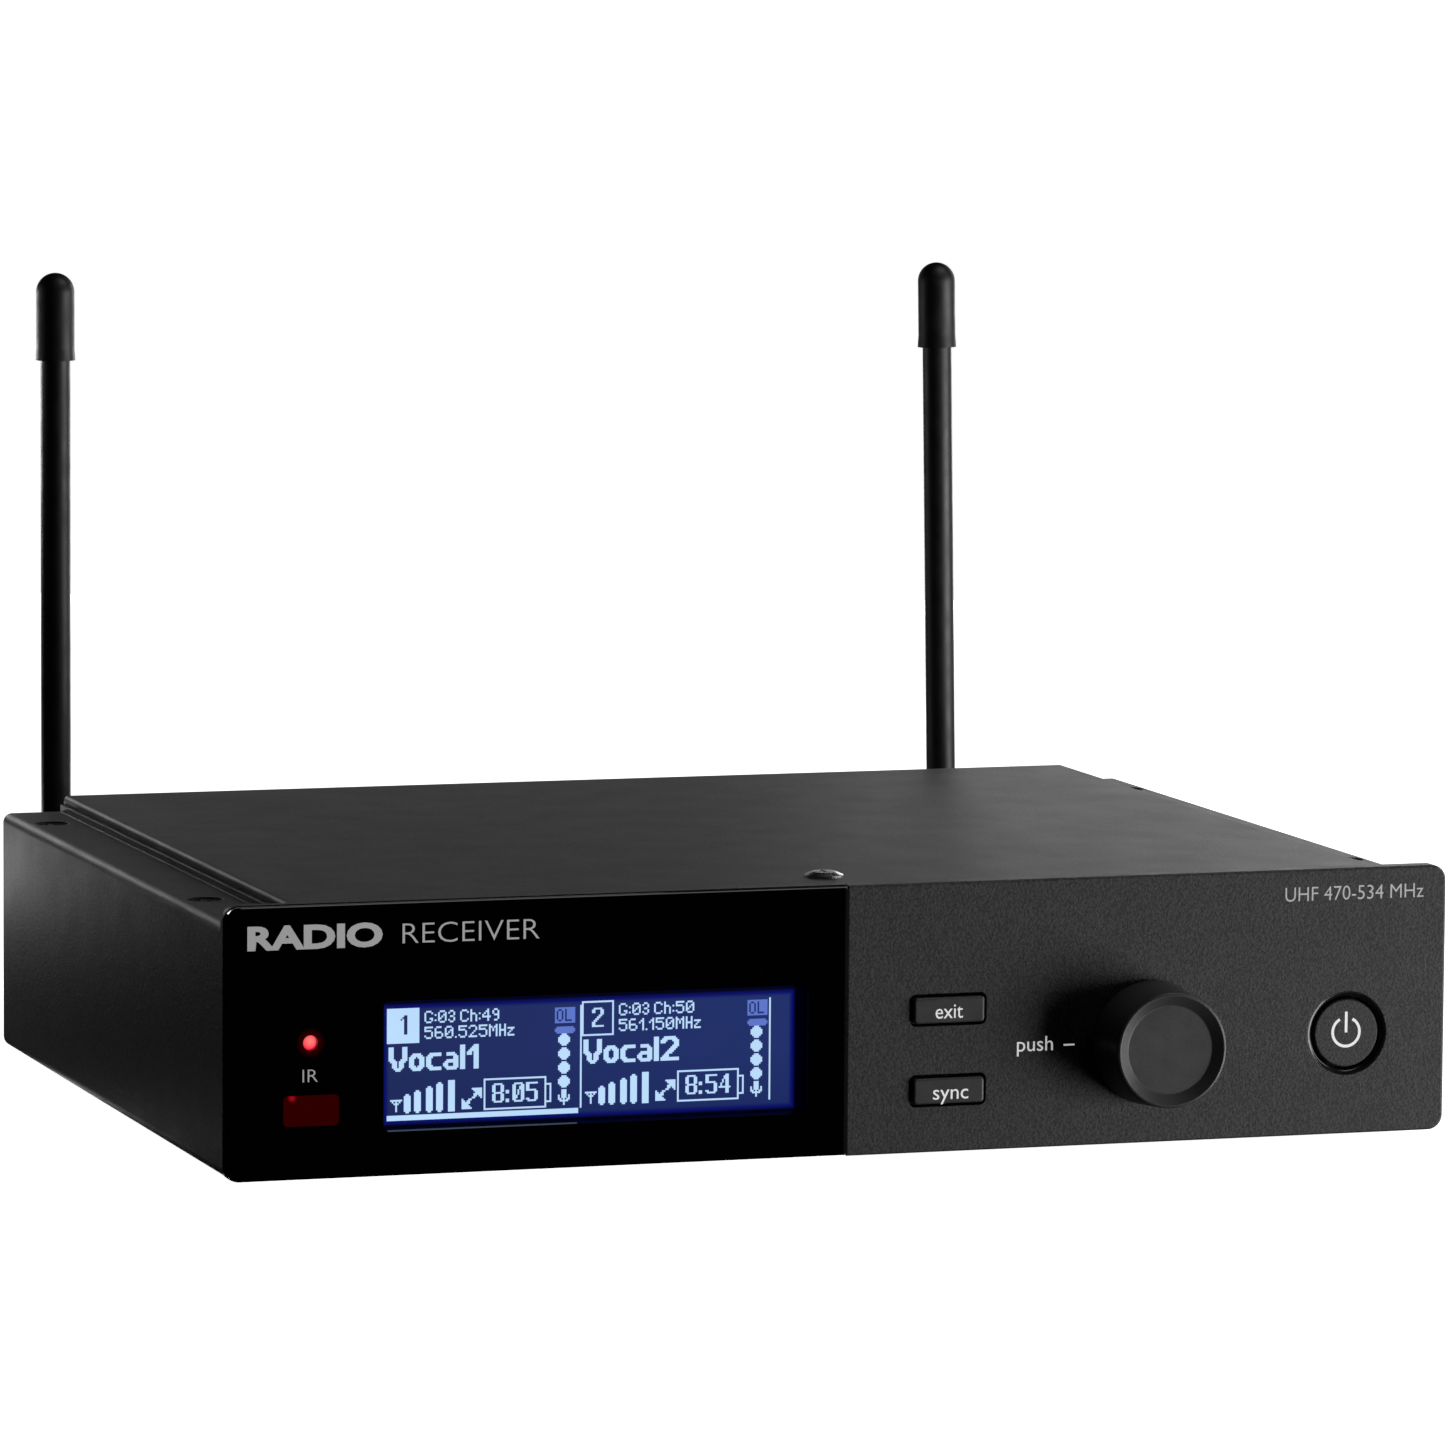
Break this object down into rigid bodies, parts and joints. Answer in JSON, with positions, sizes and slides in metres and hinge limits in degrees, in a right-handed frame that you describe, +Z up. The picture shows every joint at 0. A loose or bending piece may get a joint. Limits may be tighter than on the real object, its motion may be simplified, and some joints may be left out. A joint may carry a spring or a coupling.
{
  "type": "wireless receiver unit",
  "caption": "Half-rack wireless microphone receiver: black steel case, gloss display panel, push knob, sprung buttons and swivelling whip antennas on bayonet connectors.",
  "frame": {"origin": "under the middle of the bounding box, on the surface the rubber feet stand on", "axes": "+X to the right seen from the front, +Y from the front panel to the rear, +Z up"},
  "size_m": [0.197, 0.1852, 0.1278],
  "materials": {
    "powder_coat": "fine-textured black powder coat",
    "bezel_matte": "charcoal, fine grain",
    "lens_black": "piano black, polished",
    "lcd_cover": "clear cover over a blue graphic display",
    "display_light": "white light guide",
    "led_red": "diffused red lens",
    "ir_red": "dark red filter",
    "control_black": "satin black",
    "recess_gloss": "gloss black",
    "antenna_black": "satin black rubber",
    "foot_rubber": "matte",
    "zinc_steel": "bright zinc",
    "dark_steel": "black oxide",
    "nickel": "nickel plate",
    "gold_contact": "gold flash",
    "connector_black": "moulded nylon",
    "insulator_white": "fluoropolymer",
    "board_green": "solder mask",
    "cable_white": "flat flex"
  },
  "bodies": {
    "case": {"chassis_tray": "powder_coat", "top_cover": "powder_coat", "front_rail": "zinc_steel", "rear_panel": "powder_coat", "cover_screw": "zinc_steel", "rear_screws": "dark_steel", "ledge_inserts": "zinc_steel", "rubber_feet": "foot_rubber", "front_bezel": "bezel_matte", "display_lens": "lens_black", "lcd_glass": "lcd_cover", "lcd_frame": "zinc_steel", "lcd_backlight": "display_light", "status_led": "led_red", "ir_window": "ir_red", "power_ring": "recess_gloss", "ui_pcb": "board_green", "bezel_screws": "dark_steel", "tact_switches": "connector_black", "power_switch": "connector_black", "encoder_body": "zinc_steel", "encoder_nut": "zinc_steel", "main_pcb": "board_green", "rf_shield_left": "zinc_steel", "rf_shield_right": "zinc_steel", "main_chip": "connector_black", "ribbon_cable": "cable_white", "pcb_standoffs": "zinc_steel", "pcb_screws": "zinc_steel", "xlr_shell_1": "connector_black", "xlr_shell_2": "connector_black", "xlr_pins_1": "gold_contact", "xlr_pins_2": "gold_contact", "trs_jack_1": "connector_black", "trs_jack_2": "connector_black", "trs_nuts": "nickel", "ethernet_jack": "zinc_steel", "dc_inlet": "connector_black", "bnc_jack_left": "nickel", "bnc_jack_right": "nickel", "bnc_insulator_left": "insulator_white", "bnc_insulator_right": "insulator_white", "bnc_nuts": "nickel"},
    "exit_key": {"exit_button": "control_black"},
    "sync_key": {"sync_button": "control_black"},
    "power_key": {"power_button": "bezel_matte"},
    "encoder_rotor": {"encoder_rotor": "zinc_steel"},
    "control_knob": {"encoder_shaft": "zinc_steel", "control_knob": "control_black"},
    "ring_left": {"coupling_ring_left": "nickel"},
    "ring_right": {"coupling_ring_right": "nickel"},
    "antenna_left": {"plug_body_left": "nickel", "antenna_elbow_left": "antenna_black", "antenna_rod_left": "antenna_black", "antenna_cap_left": "antenna_black"},
    "antenna_right": {"plug_body_right": "nickel", "antenna_elbow_right": "antenna_black", "antenna_rod_right": "antenna_black", "antenna_cap_right": "antenna_black"}
  },
  "joints": [
    {"name": "antenna_left_swivel", "type": "hinge", "parent": "case", "child": "antenna_left", "pos_m": [-0.083, 0.0724, 0.0222], "axis": [0, 1, 0], "range_deg": [-90, 90]},
    {"name": "ring_left_turn", "type": "hinge", "parent": "case", "child": "ring_left", "pos_m": [-0.083, 0.0724, 0.0222], "axis": [0, 1, 0], "range_deg": [0, 90]},
    {"name": "antenna_right_swivel", "type": "hinge", "parent": "case", "child": "antenna_right", "pos_m": [0.0752, 0.0724, 0.0222], "axis": [0, 1, 0], "range_deg": [-90, 90]},
    {"name": "ring_right_turn", "type": "hinge", "parent": "case", "child": "ring_right", "pos_m": [0.0752, 0.0724, 0.0222], "axis": [0, 1, 0], "range_deg": [0, 90]},
    {"name": "exit_press", "type": "slide", "parent": "case", "child": "exit_key", "axis": [0, 1, 0], "range_m": [0, 0.0005], "stiffness_N_per_m": 3000},
    {"name": "sync_press", "type": "slide", "parent": "case", "child": "sync_key", "axis": [0, 1, 0], "range_m": [0, 0.0005], "stiffness_N_per_m": 3000},
    {"name": "power_press", "type": "slide", "parent": "case", "child": "power_key", "axis": [0, 1, 0], "range_m": [0, 0.0005], "stiffness_N_per_m": 3500},
    {"name": "knob_turn", "type": "hinge", "parent": "case", "child": "encoder_rotor", "pos_m": [0.0492, -0.0826, 0.017], "axis": [0, 1, 0], "continuous": true},
    {"name": "knob_push", "type": "slide", "parent": "encoder_rotor", "child": "control_knob", "axis": [0, 1, 0], "range_m": [0, 0.0005], "stiffness_N_per_m": 6000}
  ]
}
